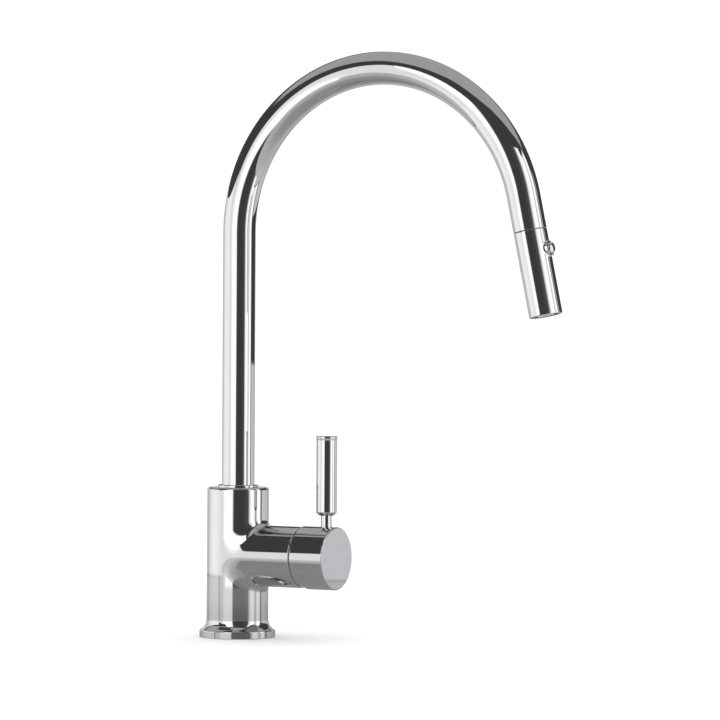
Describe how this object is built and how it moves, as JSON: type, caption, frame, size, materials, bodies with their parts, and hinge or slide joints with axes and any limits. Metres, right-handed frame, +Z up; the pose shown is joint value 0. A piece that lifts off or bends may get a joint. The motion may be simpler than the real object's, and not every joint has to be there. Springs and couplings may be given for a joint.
{
  "type": "kitchen faucet",
  "caption": "Single-hole kitchen faucet with a high-arc swivelling spout, a pull-down spray head on a hose and a front lever on a ceramic-disc cartridge.",
  "frame": {"origin": "centre of the base flange's underside, on the deck", "axes": "+Z up; the spout, the barrel and the lever face -Y; X across"},
  "size_m": [0.059, 0.3086, 0.5321],
  "materials": {
    "chrome": "polished chrome plate on brass",
    "brass": "turned brass",
    "steel": "turned stainless steel",
    "black_rubber": "matt black rubber",
    "silicone": "soft grey silicone",
    "ceramic_disc": "lapped alumina",
    "cartridge_plastic": "moulded acetal",
    "bearing_plastic": "moulded acetal, black",
    "magnet": "nickel-plated magnet",
    "face_plastic": "moulded ABS, dark grey",
    "hose_cover": "braided nylon over a rubber hose"
  },
  "bodies": {
    "base": {"base_flange": "chrome", "deck_gasket": "black_rubber", "valve_body": "chrome", "mounting_shank": "brass", "deck_seal_washer": "black_rubber", "clamp_washer": "steel", "mounting_nut": "brass", "nut_screws": "steel", "hose_connector": "steel", "cartridge_base": "cartridge_plastic", "cartridge_seals": "black_rubber", "cartridge_can": "cartridge_plastic", "fixed_disc": "ceramic_disc", "retaining_nut": "brass", "trim_dome": "chrome", "swivel_bushing": "bearing_plastic", "snap_ring": "steel", "glide_ring": "chrome"},
    "rotor": {"cartridge_rotor": "cartridge_plastic", "stem_pin": "steel"},
    "flow_disc": {"moving_disc": "ceramic_disc", "disc_driver": "cartridge_plastic"},
    "lever": {"cartridge_stem": "steel", "lever_hub": "chrome", "lever_neck": "chrome", "lever_grip": "chrome", "set_screw": "steel"},
    "spout": {"spout_tube": "chrome", "spout_adapter": "brass", "spout_o_rings": "black_rubber", "dock_socket": "bearing_plastic", "dock_magnet": "magnet"},
    "spray_head": {"pullout_hose": "hose_cover", "hose_ferrule": "steel", "hose_nut": "brass", "hose_washer": "black_rubber", "dock_spigot": "bearing_plastic", "strike_ring": "steel", "spray_shell": "chrome", "spray_core": "cartridge_plastic", "check_valve": "cartridge_plastic", "button_collar": "chrome", "button_spring": "steel", "spray_plate": "face_plastic", "nozzle_membrane": "silicone", "aerator": "cartridge_plastic"},
    "button": {"spray_button": "chrome", "diverter_spool": "cartridge_plastic"}
  },
  "joints": [
    {"name": "spout_swivel", "type": "hinge", "parent": "base", "child": "spout", "pos_m": [0, 0, 0.1], "axis": [0, 0, 1], "continuous": true},
    {"name": "spray_pull", "type": "slide", "parent": "spout", "child": "spray_head", "axis": [0, -0.2113, -0.9774], "range_m": [0, 0.2], "stiffness_N_per_m": 8, "springref_m": -0.5, "deforming": ["pullout_hose"]},
    {"name": "button_press", "type": "slide", "parent": "spray_head", "child": "button", "axis": [0, 0.9774, -0.2113], "range_m": [0, 0.002], "stiffness_N_per_m": 600, "springref_m": -0.002, "deforming": ["button_spring"]},
    {"name": "lever_turn", "type": "hinge", "parent": "base", "child": "rotor", "pos_m": [0, -0.03, 0.0637], "axis": [0, -1, 0], "range_deg": [-45, 45]},
    {"name": "lever_lift", "type": "hinge", "parent": "rotor", "child": "lever", "pos_m": [0, -0.0599, 0.0637], "axis": [1, 0, 0], "range_deg": [0, 12]},
    {"name": "disc_slide", "type": "slide", "parent": "rotor", "child": "flow_disc", "axis": [0, 0, 1], "range_m": [0, 0.00525]}
  ],
  "couplings": [
    {"joint": "disc_slide", "follows": "lever_lift", "m_per_rad": 0.025}
  ]
}
